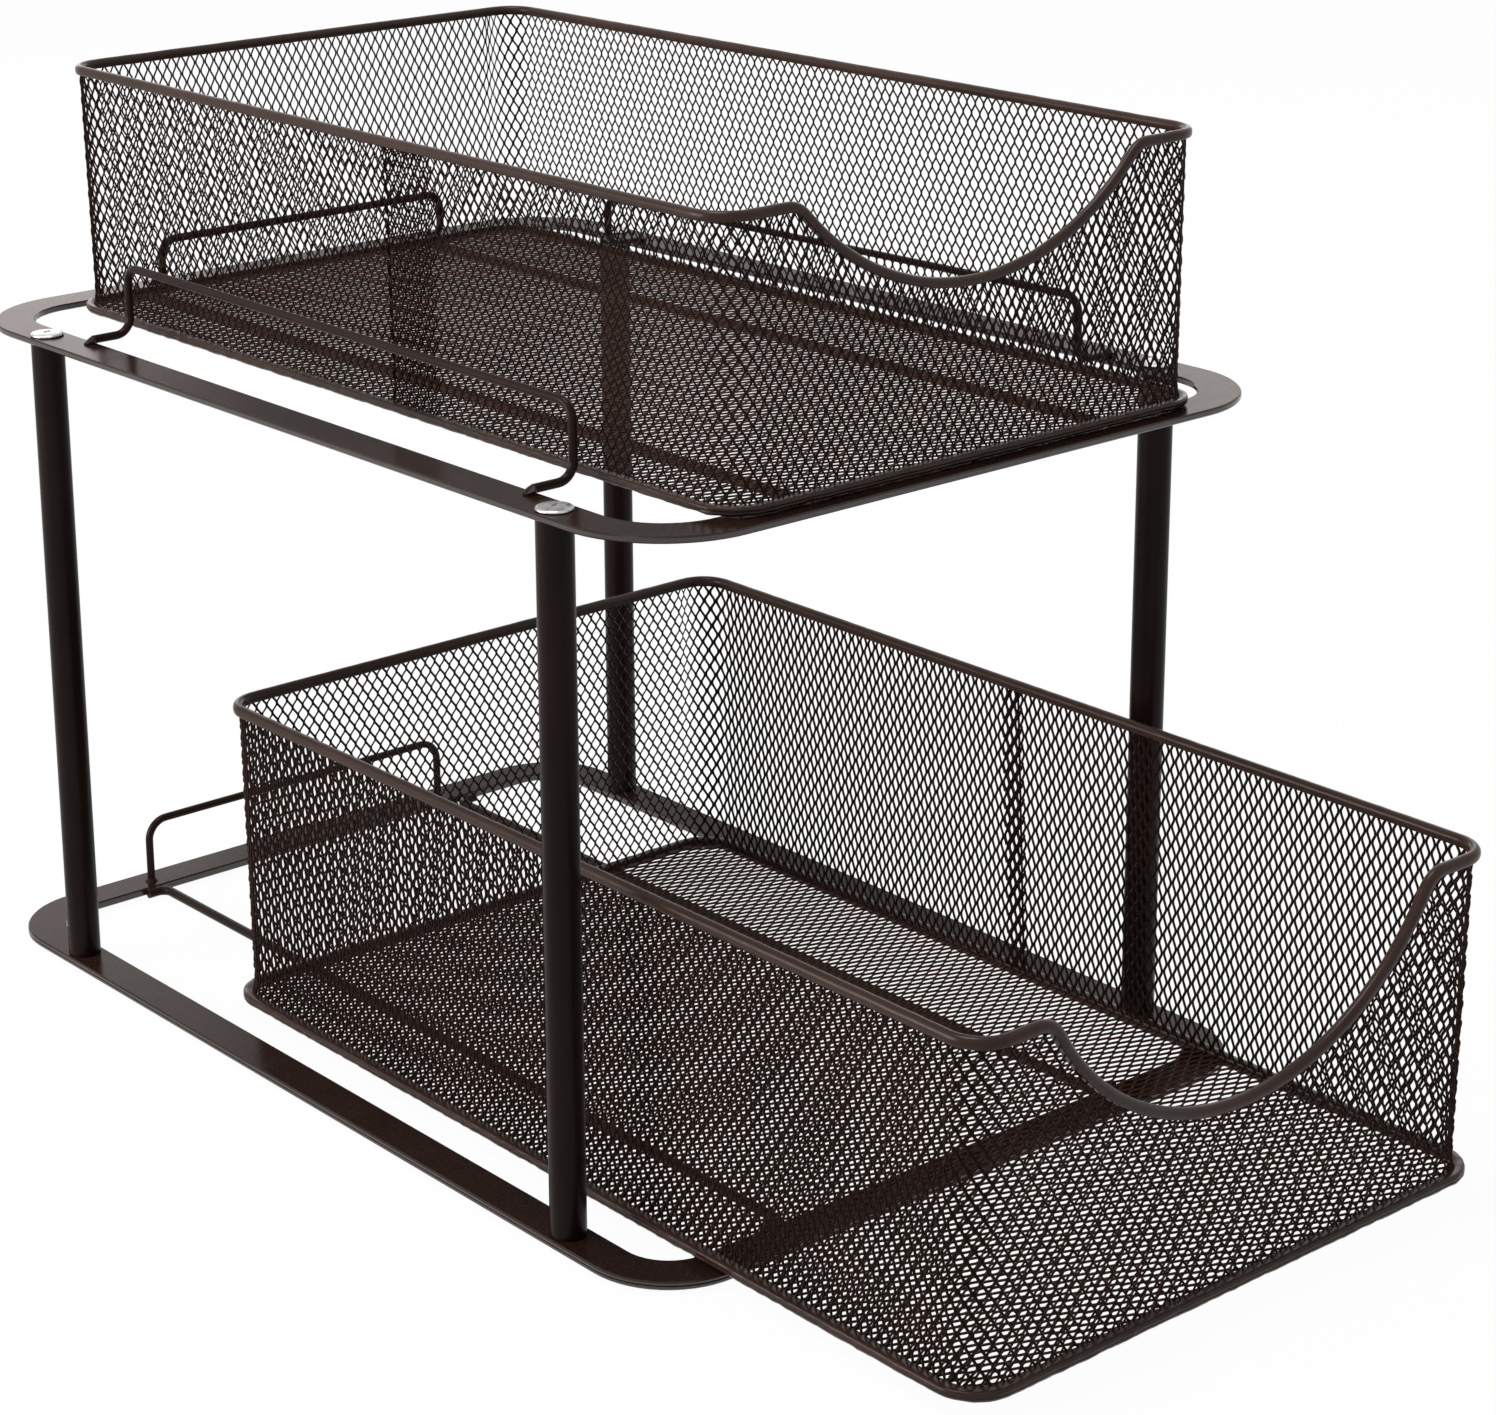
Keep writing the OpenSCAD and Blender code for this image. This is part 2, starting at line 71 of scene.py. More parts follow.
FOOT_FLARE = 1.0             # how far the sheet's foot turns outwards
FOOT_FLARE_H = 7.0           # height over which it does
FLOOR_PAST = 0.5             # how far the floor runs past the walls' feet, into the channel
LAP_STEP = 0.9               # how far the lapped end stands outside the strip's start

# Expanded metal. A strand lingers beside each knot as it crosses over and as it rises.
EVERY_LEAN = 0.015           # lean of the sheets on all sides, a shift for each step up
UNEVEN_MM = 0.9              # how far the stretched sheets stray from an even lattice
UNEVEN_WAVES = 24.0          # waves of that unevenness in a metre of sheet
ACROSS_SEED, ALONG_SEED = 3.0, 7.0
KNOT_SHARE = 0.48            # distance of a strand from its knot's middle, over its width
CROSS_LINGER = 0.316
RISE_LINGER = 0.154
STRAND_POINTS = 4

# The folded rim and base channel, carried along their paths in short steps. Their dents
# are a depth and the size of the grain.
SWEEP_STEP = 1.6
SKIN_LEVEL = 0.75            # the noise, from 0 to 1, that leaves the skin where it is
RIM_DENTS = (0.22, 6.0)
CHANNEL_DENTS = (0.8, 4.2)
CHANNEL_FOLD = 0.32          # radius of the channel's round fold, over its height
CHANNEL_BEVEL = 0.5          # on its inner side
CORNER_STEPS = 12            # straight steps of a quarter turn in the walls and channels
RIM_STEPS = 10               # the same in the rims
LIP_STEPS = 8
SCOOP_STEPS = 48
DOUBLED = 1e-6               # points closer than this are one point

# Screws
HEAD_D = 12.0
HEAD_H = 1.4
SKIRT_H = 0.75               # height at which the head's dome starts
RECESS = dict(long=4.2, wide=0.8, deep=0.5)
RECESS_TURN = 0.5            # radians
POST_PITCH = (262.5, 295.0)  # between the screws, across and along

GUARD_DROP = (1.5, 6.0)      # how far the right side guard's rail is lowered, front and back


# ---------------------------------------------------------------------------
# Small helpers
# ---------------------------------------------------------------------------
def linear(hex_colour):
    """An sRGB hex colour as the linear values that Blender's shaders take."""
    value = hex_colour.lstrip("#")
    out = []
    for i in (0, 2, 4):
        c = int(value[i:i + 2], 16) / 255
        out.append(c / 12.92 if c <= 0.04045 else ((c + 0.055) / 1.055) ** 2.4)
    return (*out, 1.0)


def metres(size):
    """A length or a place in millimetres, turned to metres."""
    return tuple(v * MM for v in size) if isinstance(size, tuple) else size * MM


def socket(sockets, key):
    """A node's input or output by its number, its identifier, or its name with _ for a
    space."""
    if isinstance(key, int):
        return sockets[key]
    for one in sockets:
        if one.identifier == key:
            return one
    return sockets[key.replace("_", " ")]


def feed(tree, node, *values, **inputs):
    """Feeds a node's inputs, the first ones in their order and others by name. What feeds
    an input is a plain value, another node's output, or a node for its first output."""
    for key, value in [*enumerate(values), *inputs.items()]:
        if isinstance(value, bpy.types.Node):
            value = value.outputs[0]
        if isinstance(value, bpy.types.NodeSocket):
            tree.links.new(value, socket(node.inputs, key))
        else:
            socket(node.inputs, key).default_value = value


def add(tree, kind, settings=None, *values, **inputs):
    """Adds a node with its settings and what feeds it. Where the only setting is its
    operation, settings is that word."""
    node = tree.nodes.new(kind)
    if isinstance(settings, str):
        settings = {"operation": settings}
    for name, value in (settings or {}).items():
        setattr(node, name, value)
    feed(tree, node, *values, **inputs)
    return node


def sharpened(obj, angle):
    """Smooth faces, with creases where the form turns by more than the angle in degrees."""
    mesh = obj.data
    mesh.polygons.foreach_set("use_smooth", [True] * len(mesh.polygons))
    mesh.set_sharp_from_angle(angle=math.radians(angle))


def linked(name, mesh, body, slot, *replaced):
    """Puts a finished mesh in the scene as a piece of the object, in place of solids."""
    obj = bpy.data.objects.new(name, mesh)
    bpy.context.scene.collection.objects.link(obj)
    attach(obj, body)
    if replaced:
        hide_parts(*replaced)
    return obj


# ---------------------------------------------------------------------------
# Finishes
# ---------------------------------------------------------------------------
PATCH_MM = 38.46             # patches of slightly thicker and thinner coat
RUB_MM = 8.333               # rub marks, which only change the gloss
PEEL_H_MM = 0.1              # height of the orange peel at full strength
RUB_GLOSS = 0.02             # how far the roughness strays either way
WORN_GRAIN = "#5b4a45"
GRAIN_SHARE = 0.45           # how much of a grain's width its pale spot takes
CLOUD_MM = 2.381             # clouds in the zinc
MOST_NOISE = dict(From_Min=0.3, From_Max=0.7)   # the range of nearly all of a noise


def per_metre(size_mm):
    """Scale of a pattern on coordinates in metres, from the size of one repeat."""
    return 1000.0 / size_mm


def new_finish(name):
    """A new material, with its tree, its shader and the place on the object in metres."""
    mat = bpy.data.materials.new(name)
    mat.use_nodes = True
    tree = mat.node_tree
    where = add(tree, "ShaderNodeTexCoord").outputs["Object"]
    return mat, tree, tree.nodes["Principled BSDF"], where


def powder_coat(name, colour, pale, roughness, sheen, grain_mm=0.9, bump=0.14, wear=0.0,
                painted_side_sheen=None):
    """Baked polyester powder coat, sprayed as dust and fused in an oven: a dark satin
    skin with faint orange peel. Its fine texture traps much of the sheen seen head on. Where
    a side sheen is given, upright faces shine more than flat tops: a painted sheen that
    stands in for the light falling on the sides."""
    mat, tree, shader, where = new_finish(name)
    patches = add(tree, "ShaderNodeTexNoise", Vector=where, Scale=per_metre(PATCH_MM),
                  Detail=3.0, Roughness=0.55)
    tone = add(tree, "ShaderNodeMapRange", Value=patches, **MOST_NOISE)
    mixed = add(tree, "ShaderNodeMix", {"data_type": "RGBA"}, Factor=tone,
                A_Color=linear(colour), B_Color=linear(pale))
    if wear > 0:
        # Single grains of the powder stand out a little paler.
        grain = add(tree, "ShaderNodeTexVoronoi", Vector=where, Scale=per_metre(grain_mm))
        fleck = add(tree, "ShaderNodeMapRange", Value=grain.outputs["Distance"],
                    From_Max=GRAIN_SHARE, To_Min=wear, To_Max=0.0)
        mixed = add(tree, "ShaderNodeMix", {"data_type": "RGBA"}, Factor=fleck,
                    A_Color=socket(mixed.outputs, "Result_Color"), B_Color=linear(WORN_GRAIN))
    rub = add(tree, "ShaderNodeTexNoise", Vector=where, Scale=per_metre(RUB_MM), Detail=5.0,
              Roughness=0.7, Distortion=1.4)
    gloss = add(tree, "ShaderNodeMapRange", Value=rub, **MOST_NOISE,
                To_Min=roughness - RUB_GLOSS, To_Max=roughness + RUB_GLOSS)
    # Orange peel, at the grain of the fused powder.
    peel = add(tree, "ShaderNodeTexNoise", Vector=where, Scale=per_metre(grain_mm), Detail=2.0,
               Roughness=0.6)
    skin = add(tree, "ShaderNodeBump", Height=peel, Strength=bump, Distance=PEEL_H_MM * MM)
    feed(tree, shader, Base_Color=socket(mixed.outputs, "Result_Color"), Roughness=gloss,
         Normal=skin, IOR=1.5, Specular_IOR_Level=sheen)
    # Painted sheen: upright faces get a higher sheen level than flat tops, standing in for the
    # light that falls on the sides.
    if painted_side_sheen is not None:
        normal = add(tree, "ShaderNodeNewGeometry").outputs["True Normal"]
        flat = add(tree, MATH, "ABSOLUTE", add(tree, SPLIT_XYZ, None, normal).outputs["Z"])
        level = add(tree, "ShaderNodeMapRange", Value=flat, To_Min=painted_side_sheen, To_Max=sheen)
        feed(tree, shader, Specular_IOR_Level=level)
    return mat


def bright_zinc(name):
    """Electroplated zinc on a pressed steel head: a cool bright grey, a little cloudy."""
    mat, tree, shader, where = new_finish(name)
    cloud = add(tree, "ShaderNodeTexNoise", Vector=where, Scale=per_metre(CLOUD_MM), Detail=3.0,
                Roughness=0.6)
    tone = add(tree, "ShaderNodeMix", {"data_type": "RGBA"}, Factor=cloud,
               A_Color=linear("#a4a4a6"), B_Color=linear("#e2e2e3"))
    dull = add(tree, "ShaderNodeMapRange", Value=cloud, From_Min=0.35, From_Max=0.65,
               To_Min=0.24, To_Max=0.40)
    feed(tree, shader, Base_Color=socket(tone.outputs, "Result_Color"), Roughness=dull,
         Metallic=1.0)
    return mat


# On the strip, upright faces carry a painted sheen for the light on its sides.
COAT_STRIP = powder_coat("powder_coat_on_strip", "#1e120e", "#291a14", roughness=0.22,
                         sheen=0.038, bump=0.05, wear=0.22, painted_side_sheen=0.7)
# Painted shade: a darker copy of the frame's coat for the upright posts, which stand in shade.
COAT_TUBE_SHADED = powder_coat("powder_coat_shaded_on_tube", "#120907", "#190e0b", roughness=0.30,
                        sheen=0.08)
COAT_WIRE = powder_coat("powder_coat_on_wire", "#1b100c", "#251712", roughness=0.30,
                        sheen=0.09, grain_mm=0.8)
# Painted light: a lighter copy of the wire's coat for the rims and channels, standing in for the
# light from the left on their folds.
COAT_FOLD_LIT = powder_coat("powder_coat_lit_on_folded_edge", "#281a15", "#35241d", roughness=0.28,
                        sheen=0.17, grain_mm=0.8)
COAT_MESH = powder_coat("powder_coat_on_wall_mesh", "#1c110d", "#251712", roughness=0.38,
                        sheen=0.05, grain_mm=0.6)
# Painted light: a lighter copy of the mesh coat for the floors, whose strands face up towards the
# lamps.
COAT_FLOOR_LIT = powder_coat("powder_coat_lit_on_floor_mesh", "#301e18", "#3d2921", roughness=0.38,
                         sheen=0.05, grain_mm=0.6)
ZINC = bright_zinc("bright_zinc_plate")


# ---------------------------------------------------------------------------
# Outlines
# ---------------------------------------------------------------------------
def scoop_angle(deep):
    """The angle at which the scoop's round meets the lip's round, from the middle."""
    return math.acos((SCOOP_R - deep + LIP_R) / (SCOOP_R + LIP_R))


def lip_x(deep):
    """How far from the middle of the front the rim starts to turn down."""
    return (SCOOP_R + LIP_R) * math.sin(scoop_angle(deep))


def foot_size(basket):
    """Width and depth over the walls at their feet."""
    return tuple(v - 2 * basket["channel"] for v in basket["base"])


def arc(cx, cy, r, start, end, steps):
    """Points of an arc, in degrees, its start left out."""
    out = []
    for k in range(1, steps + 1):
        a = math.radians(start + (end - start) * k / steps)
        out.append((cx + r * math.cos(a), cy + r * math.sin(a)))
    return out


def rounded_outline(w, l, r, side, at):
    """A rounded rectangle run anticlockwise, starting on its left or right side at y = at."""
    x, y = w / 2, l / 2
    corners = [(x - r, y - r, 0), (-x + r, y - r, 90), (-x + r, -y + r, 180), (x - r, -y + r, 270)]
    if side == "left":
        corners = corners[2:] + corners[:2]
        points = [(-x, at), (-x, -y + r)]
    else:
        points = [(x, at), (x, y - r)]
    for k, (cx, cy, a) in enumerate(corners):
        if k:
            points += arc(cx, cy, r, a, a, 1)
        points += arc(cx, cy, r, a, a + 90, CORNER_STEPS)
    return points


def path_object(name, points, closed=True):
    """A poly curve through the points, in millimetres, its normals kept upright."""
    data = bpy.data.curves.new(name, "CURVE")
    data.dimensions = "3D"
    data.twist_mode = "Z_UP"
    spline = data.splines.new("POLY")
    spline.points.add(len(points) - 1)
    for point, p in zip(spline.points, points):
        z = p[2] if len(p) > 2 else 0.0
        point.co = (*metres((p[0], p[1], z)), 1.0)
    spline.use_cyclic_u = closed
    obj = bpy.data.objects.new(name, data)
    bpy.context.scene.collection.objects.link(obj)
    return obj


# ---------------------------------------------------------------------------
# Geometry Nodes
# ---------------------------------------------------------------------------
WELD = 0.02 * MM             # doubles closer than this are merged, on the screw heads
TINY = 0.01 * MM             # keeps a division from its zero
SHEET_INPUTS = ["Across", "Along", "Strand width", "Strand thickness", "Tip", "First", "Uneven"]


def new_tree(name, inputs):
    """A geometry tree and its inputs, which are named under their socket types."""
    tree = bpy.data.node_groups.new(name, "GeometryNodeTree")
    new_socket = tree.interface.new_socket
    new_socket("Geometry", in_out="INPUT", socket_type="NodeSocketGeometry")
    for kind, labels in inputs.items():
        for label in labels:
            new_socket(label, in_out="INPUT", socket_type="NodeSocket" + kind)
    new_socket("Geometry", in_out="OUTPUT", socket_type="NodeSocketGeometry")
    return tree, add(tree, "NodeGroupInput").outputs


def end_tree(tree, geometry, finish):
    """Ends a tree in real geometry with its finish. A tree that still shapes its instances
    once they are real has realized them already."""
    real = add(tree, "GeometryNodeRealizeInstances", None, geometry)
    finished = add(tree, "GeometryNodeSetMaterial", None, real, Material=finish)
    add(tree, "NodeGroupOutput", None, finished)
    return tree


def grown(obj, tree, name, lengths, others):
    """Runs a geometry tree on an object and returns the result as a plain mesh. Lengths
    and places are in millimetres."""
    values = {label: metres(size) for label, size in lengths.items()} | others
    modifier = obj.modifiers.new("grow", "NODES")
    modifier.node_group = tree
    for item in tree.interface.items_tree:
        if item.in_out == "INPUT" and item.name in values:
            modifier[item.identifier] = values[item.name]
    graph = bpy.context.evaluated_depsgraph_get()
    mesh = bpy.data.meshes.new_from_object(obj.evaluated_get(graph), depsgraph=graph)
    mesh.name = name
    obj.modifiers.remove(modifier)
    bpy.data.objects.remove(obj)
    return mesh


def strand_pair(tree, given):
    """Two strands of expanded metal that rise from a knot to the left and right. At a knot
    two strands lie side by side for a short way, and between knots each crosses over. All
    are tipped the same way out of the sheet, as the cutting press leaves them."""
    tip = given["Tip"]
    half_x = add(tree, MATH, "MULTIPLY", given["Across"], 0.5)
    half_y = add(tree, MATH, "MULTIPLY", given["Along"], 0.5)
    apart = add(tree, MATH, "MULTIPLY", given["Strand width"], KNOT_SHARE)
    beside = add(tree, MATH, "MULTIPLY", apart, add(tree, MATH, "COSINE", tip))
    ahead = add(tree, MATH, "MULTIPLY", apart, add(tree, MATH, "SINE", tip))
    run = add(tree, MATH, "SUBTRACT", half_x, add(tree, MATH, "MULTIPLY", beside, 2.0))
    pair = add(tree, "GeometryNodeJoinGeometry")
    for side in (1.0, -1.0):
        line = add(tree, "GeometryNodeCurvePrimitiveLine", End=(0.0, 1.0, 0.0))
        cut = add(tree, "GeometryNodeResampleCurve", Curve=line, Count=STRAND_POINTS)
        part = add(tree, "GeometryNodeSplineParameter").outputs["Factor"]
        bow = add(tree, MATH, "SINE", add(tree, MATH, "MULTIPLY", part, 2 * math.pi))
        over = add(tree, MATH, "MULTIPLY_ADD", bow, -CROSS_LINGER, part)
        rise = add(tree, MATH, "MULTIPLY_ADD", bow, -RISE_LINGER, part)
        out = add(tree, MATH, "MULTIPLY_ADD", over, run, beside)
        swing = add(tree, MATH, "MULTIPLY_ADD", over, -2.0, 1.0)
        depth = add(tree, MATH, "MULTIPLY", swing, ahead)
        point = add(tree, JOIN_XYZ, X=add(tree, MATH, "MULTIPLY", out, side),
                    Y=add(tree, MATH, "MULTIPLY", rise, half_y),
                    Z=add(tree, MATH, "MULTIPLY", depth, side))
        placed = add(tree, "GeometryNodeSetPosition", Geometry=cut, Position=point)
        upright = add(tree, "GeometryNodeSetCurveNormal", {"mode": "Z_UP"}, Curve=placed)
        tilted = add(tree, "GeometryNodeSetCurveTilt", Curve=upright,
                     Tilt=add(tree, MATH, "MULTIPLY", tip, -1.0))
        section = add(tree, "GeometryNodeCurvePrimitiveQuadrilateral",
                      Width=given["Strand width"], Height=given["Strand thickness"])
        bar = add(tree, "GeometryNodeCurveToMesh", Curve=tilted, Profile_Curve=section,
                  Fill_Caps=True)
        feed(tree, pair, bar)
    return pair


def strayed(tree, value, given, seed):
    """A place in the sheet, moved a little by the uneven stretching of the metal."""
    where = add(tree, VECTOR_MATH, "ADD", add(tree, "GeometryNodeInputPosition"),
                (seed, 0.0, 0.0))
    noise = add(tree, "ShaderNodeTexNoise", Vector=where, Scale=UNEVEN_WAVES, Detail=1.0)
    shift = add(tree, MATH, "MULTIPLY", add(tree, MATH, "SUBTRACT", noise, 0.5),
                given["Uneven"])
    return add(tree, MATH, "ADD", value, shift)


def row_length(tree, count, pitch, share):
    """A share of the length of a row of knots, which are half a pitch apart."""
    steps = add(tree, MATH, "SUBTRACT", count, 1.0)
    return add(tree, MATH, "MULTIPLY", steps, add(tree, MATH, "MULTIPLY", pitch, share / 2))


def lattice(tree, given):
    """Knots of the mesh: every second point of a grid of half openings, from (0, 0)."""
    columns, rows = given["Columns"], given["Rows"]
    grid = add(tree, "GeometryNodeMeshGrid", Vertices_X=columns, Vertices_Y=rows,
               Size_X=row_length(tree, columns, given["Across"], 1.0),
               Size_Y=row_length(tree, rows, given["Along"], 1.0))
    index = add(tree, "GeometryNodeInputIndex")
    before = add(tree, MATH, "DIVIDE", add(tree, MATH, "ADD", index, 0.5), rows)
    column = add(tree, MATH, "FLOOR", before)
    row = add(tree, MATH, "SUBTRACT", index, add(tree, MATH, "MULTIPLY", column, rows))
    odd = add(tree, MATH, "MODULO", add(tree, MATH, "ADD", column, row), 2.0)
    return grid, add(tree, MATH, "LESS_THAN", odd, 0.5)


def other_leg(tree, longest, leg):
    """The third side of a right triangle, from its longest and one other. It is 0 where
    the other is the longer."""
    rest = add(tree, MATH, "SUBTRACT", add(tree, MATH, "MULTIPLY", longest, longest),
               add(tree, MATH, "MULTIPLY", leg, leg))
    return add(tree, MATH, "SQRT", add(tree, MATH, "MAXIMUM", 0.0, rest))


def wall_tree():
    """Expanded metal hung on a basket's outline. The sheet is made flat, as it is cut,
    clipped to the scoop, and then bent round the outline with its own flare."""
    tree, given = new_tree("expanded_metal_wall", {
        "Int": ["Columns", "Rows"],
        "Float": SHEET_INPUTS + ["Lean", "Round", "Height", "Scoop middle", "Scoop radius",
                                 "Scoop depth", "Lip radius", "Meet", "Lip end", "Flare X",
                                 "Flare Y", "Foot flare", "Lap", "Foot"],
        "Vector": ["Place"], "Material": ["Coat"]})
    here = add(tree, SPLIT_XYZ, None, add(tree, "GeometryNodeInputPosition")).outputs

    def edge_height(u):
        """Height of the wall's top edge at the place u along the sheet."""
        away = add(tree, MATH, "ABSOLUTE", add(tree, MATH, "SUBTRACT", u, given["Scoop middle"]))
        radius, lip = given["Scoop radius"], given["Lip radius"]
        centre = add(tree, MATH, "SUBTRACT", radius, given["Scoop depth"])
        in_scoop = add(tree, MATH, "SUBTRACT", centre, other_leg(tree, radius, away))
        off = add(tree, MATH, "MAXIMUM", 0.0, add(tree, MATH, "SUBTRACT", given["Lip end"], away))
        on_lip = add(tree, MATH, "SUBTRACT", other_leg(tree, lip, off), lip)
        inside = add(tree, MATH, "LESS_THAN", away, given["Meet"])
        drop = add(tree, "ShaderNodeMix", {"data_type": "FLOAT"}, Factor=inside,
                   A_Float=on_lip, B_Float=in_scoop)
        return add(tree, MATH, "ADD", given["Height"], drop)

    def round_outline(u):
        """The outline's place and direction at the place u along the sheet."""
        turn = add(tree, "GeometryNodeSampleCurve", {"mode": "LENGTH", "use_all_curves": True},
                   Curves=given["Geometry"], Length=add(tree, MATH, "MODULO", u, given["Round"]))
        return [add(tree, SPLIT_XYZ, None, turn.outputs[name]).outputs
                for name in ("Position", "Tangent")]

    # The grid is centred, so its corner is brought to the sheet's own corner.
    half = add(tree, JOIN_XYZ, X=row_length(tree, given["Columns"], given["Across"], 0.5),
               Y=row_length(tree, given["Rows"], given["Along"], 0.5))
    start = add(tree, JOIN_XYZ, X=given["First"],
                Y=add(tree, MATH, "MULTIPLY", given["Along"], -0.5))
    grid, knots = lattice(tree, given)
    placed = add(tree, "GeometryNodeSetPosition", Geometry=grid,
                 Offset=add(tree, VECTOR_MATH, "ADD", half, start))
    # The sheet's rows shift as they rise, most on the basket's right side.
    facing = add(tree, MATH, "MAXIMUM", 0.0, round_outline(here["X"])[1]["Y"])
    slope = add(tree, MATH, "MULTIPLY_ADD", facing, given["Lean"], EVERY_LEAN)
    leaned = add(tree, MATH, "MULTIPLY_ADD", slope, here["Y"], here["X"])
    under = add(tree, MATH, "LESS_THAN", here["Y"], edge_height(leaned))
    spread = add(tree, "GeometryNodeInstanceOnPoints", Points=placed,
                 Selection=add(tree, MATH, "MULTIPLY", knots, under),
                 Instance=strand_pair(tree, given))
    real = add(tree, "GeometryNodeRealizeInstances", None, spread)
    # Clip to the foot and to the top edge.
    u = strayed(tree, leaned, given, ACROSS_SEED)
    above = add(tree, MATH, "MAXIMUM", strayed(tree, here["Y"], given, ALONG_SEED), 0.0)
    v = add(tree, MATH, "MINIMUM", above, edge_height(u))
    # Bend round the outline; past one turn the sheet laps over its own start.
    spot, tangent = round_outline(u)
    part = add(tree, MATH, "DIVIDE", v, given["Height"])
    low = add(tree, MATH, "SUBTRACT", 1.0, add(tree, MATH, "DIVIDE", v, metres(FOOT_FLARE_H)))
    low = add(tree, MATH, "MAXIMUM", 0.0, low)
    foot = add(tree, MATH, "MULTIPLY", add(tree, MATH, "MULTIPLY", low, low), given["Foot flare"])
    lapped = add(tree, MATH, "GREATER_THAN", here["X"], given["Round"])
    out = add(tree, MATH, "ADD", add(tree, MATH, "ADD", here["Z"], foot),
              add(tree, MATH, "MULTIPLY", lapped, given["Lap"]))
    bent = []
    for axis, normal in (("X", tangent["Y"]),
                         ("Y", add(tree, MATH, "MULTIPLY", tangent["X"], -1.0))):
        reach = add(tree, MATH, "MULTIPLY_ADD", part, given["Flare " + axis], out)
        bent.append(add(tree, MATH, "ADD", spot[axis], add(tree, MATH, "MULTIPLY", normal, reach)))
    bent.append(add(tree, MATH, "ADD", v, given["Foot"]))
    moved = add(tree, VECTOR_MATH, "ADD", add(tree, JOIN_XYZ, None, *bent), given["Place"])
    shaped = add(tree, "GeometryNodeSetPosition", Geometry=real, Position=moved)
    return end_tree(tree, shaped, given["Coat"])


def floor_tree():
    """Flat expanded metal clipped to a rounded rectangle, with its long openings across."""
    tree, given = new_tree("expanded_metal_floor", {
        "Int": ["Columns", "Rows"],
        "Float": SHEET_INPUTS + ["Half width", "Half depth", "Corner"],
        "Vector": ["Place"], "Material": ["Coat"]})
    here = add(tree, SPLIT_XYZ, None, add(tree, "GeometryNodeInputPosition")).outputs
    corner = given["Corner"]

    def past_corner(x, y):
        """How far a place lies past a corner's middle along X, along Y, and in all."""
        past = []
        for place, half in ((x, given["Half width"]), (y, given["Half depth"])):
            away = add(tree, MATH, "SUBTRACT", add(tree, MATH, "ABSOLUTE", place),
                       add(tree, MATH, "SUBTRACT", half, corner))
            past.append(add(tree, MATH, "MAXIMUM", 0.0, away))
        squares = [add(tree, MATH, "MULTIPLY", d, d) for d in past]
        return (*past, add(tree, MATH, "SQRT", add(tree, MATH, "ADD", *squares)))

    # The grid has its short diagonals along X. It is turned so that the long ones run
    # along X, and moved to its own first row.
    start = add(tree, MATH, "ADD", given["First"],
                row_length(tree, given["Columns"], given["Across"], 0.5))
    turned = add(tree, JOIN_XYZ, X=here["Y"], Y=add(tree, MATH, "ADD", here["X"], start))
    grid, knots = lattice(tree, given)
    placed = add(tree, "GeometryNodeSetPosition", Geometry=grid, Position=turned)
    middle = add(tree, MATH, "ADD", here["X"], add(tree, MATH, "MULTIPLY", given["Along"], 0.25))
    inside = add(tree, MATH, "LESS_THAN", past_corner(middle, here["Y"])[2], corner)
    quarter = add(tree, "FunctionNodeAxisAngleToRotation", Axis=(0.0, 0.0, 1.0),
                  Angle=-math.pi / 2)
    spread = add(tree, "GeometryNodeInstanceOnPoints", Points=placed,
                 Selection=add(tree, MATH, "MULTIPLY", knots, inside), Rotation=quarter,
                 Instance=strand_pair(tree, given))
    real = add(tree, "GeometryNodeRealizeInstances", None, spread)
    # Whatever lies outside the outline is drawn in to it.
    place = [strayed(tree, here["X"], given, ACROSS_SEED),
             strayed(tree, here["Y"], given, ALONG_SEED)]
    *past, far = past_corner(*place)
    ratio = add(tree, MATH, "DIVIDE", corner, add(tree, MATH, "MAXIMUM", far, TINY))
    scale = add(tree, MATH, "MINIMUM", 1.0, ratio)
    sides = []
    for value, d in zip(place, past):
        core = add(tree, MATH, "SUBTRACT", add(tree, MATH, "ABSOLUTE", value), d)
        size = add(tree, MATH, "ADD", core, add(tree, MATH, "MULTIPLY", d, scale))
        sides.append(add(tree, MATH, "MULTIPLY", size, add(tree, MATH, "SIGN", value)))
    clipped = add(tree, JOIN_XYZ, None, *sides, here["Z"])
    shaped = add(tree, "GeometryNodeSetPosition", Geometry=real,
                 Position=add(tree, VECTOR_MATH, "ADD", clipped, given["Place"]))
    return end_tree(tree, shaped, given["Coat"])


def swept_tree():
    """A section carried along a path and kept upright. The skin is dented a little inwards,
    as a fold is where it is pressed down over the mesh."""
    tree, given = new_tree("section_along_path", {
        "Object": ["Section"], "Vector": ["Place"], "Float": ["Step", "Uneven", "Grain"],
        "Material": ["Coat"]})
    even = add(tree, "GeometryNodeResampleCurve", {"mode": "LENGTH"}, Curve=given["Geometry"],
               Length=given["Step"])
    upright = add(tree, "GeometryNodeSetCurveNormal", {"mode": "Z_UP"}, Curve=even)
    section = add(tree, "GeometryNodeObjectInfo", Object=given["Section"])
    body = add(tree, "GeometryNodeCurveToMesh", Curve=upright,
               Profile_Curve=section.outputs["Geometry"])
    # The skin is measured from near the top of the noise, so that the dents go inwards.
    noise = add(tree, "ShaderNodeTexNoise", Scale=given["Grain"], Detail=1.0, Roughness=0.5)
    high = add(tree, MATH, "MULTIPLY", add(tree, MATH, "SUBTRACT", noise, SKIN_LEVEL),
               given["Uneven"])
    push = add(tree, VECTOR_MATH, "SCALE", add(tree, "GeometryNodeInputNormal"), Scale=high)
    pressed = add(tree, "GeometryNodeSetPosition", Geometry=body, Offset=push)
    smooth = add(tree, "GeometryNodeSetShadeSmooth", Geometry=pressed)
    placed = add(tree, "GeometryNodeTransform", Geometry=smooth, Translation=given["Place"])
    return end_tree(tree, placed, given["Coat"])


